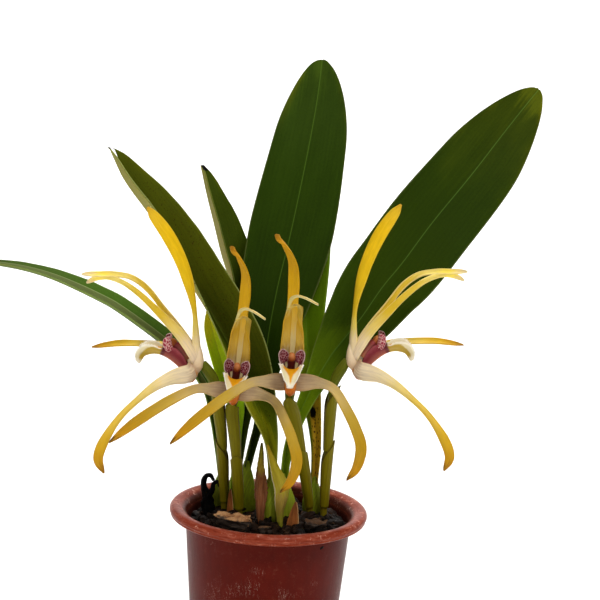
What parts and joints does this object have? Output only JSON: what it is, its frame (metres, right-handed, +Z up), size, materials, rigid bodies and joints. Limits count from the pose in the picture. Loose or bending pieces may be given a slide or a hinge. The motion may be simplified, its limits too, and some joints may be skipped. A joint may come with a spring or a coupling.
{
  "type": "potted maxillaria setigera orchid",
  "caption": "Flowering orchid with broad strap leaves and spidery yellow blooms on short scapes, growing in bark in a plain round pot.",
  "frame": {"origin": "middle of the underside of the pot's base", "axes": "+Z up, +X to the right of a viewer in front of the blooms, +Y away from that viewer"},
  "size_m": [0.2921, 0.1273, 0.3127],
  "materials": {
    "pot_plastic": "satin",
    "bark": "rough",
    "bark_chip": "rough",
    "pseudobulb": "satin",
    "leaf_dark": "satin",
    "leaf_olive": "satin",
    "leaf_mid": "satin",
    "leaf_fresh": "satin",
    "scape": "satin",
    "tepal": "satin",
    "lip": "satin",
    "column": "satin",
    "dry_sheath": "rough",
    "fresh_sheath": "satin",
    "remnant": "rough"
  },
  "bodies": {
    "root": {"pot": "pot_plastic", "bark_mix": "bark", "bark_chip_large": "bark_chip", "bark_chip_small": "bark_chip", "bark_chip_right": "bark_chip", "bark_chip_back": "bark_chip", "rhizome_and_pseudobulbs": "pseudobulb", "leaf_centre": "leaf_dark", "leaf_right": "leaf_dark", "leaf_left": "leaf_olive", "leaf_back_left": "leaf_mid", "leaf_low_left": "leaf_mid", "leaf_back_right": "leaf_mid", "leaf_young": "leaf_fresh", "dry_sheath_centre": "dry_sheath", "young_sheath": "fresh_sheath", "dry_sheath_right": "dry_sheath", "dry_sheath_left": "dry_sheath", "curled_remnant": "remnant", "scape_outer_left": "scape", "tepals_outer_left": "tepal", "lip_outer_left": "lip", "column_outer_left": "column", "scape_inner_left": "scape", "tepals_inner_left": "tepal", "lip_inner_left": "lip", "column_inner_left": "column", "scape_inner_right": "scape", "tepals_inner_right": "tepal", "lip_inner_right": "lip", "column_inner_right": "column", "scape_outer_right": "scape", "tepals_outer_right": "tepal", "lip_outer_right": "lip", "column_outer_right": "column"}
  },
  "joints": []
}
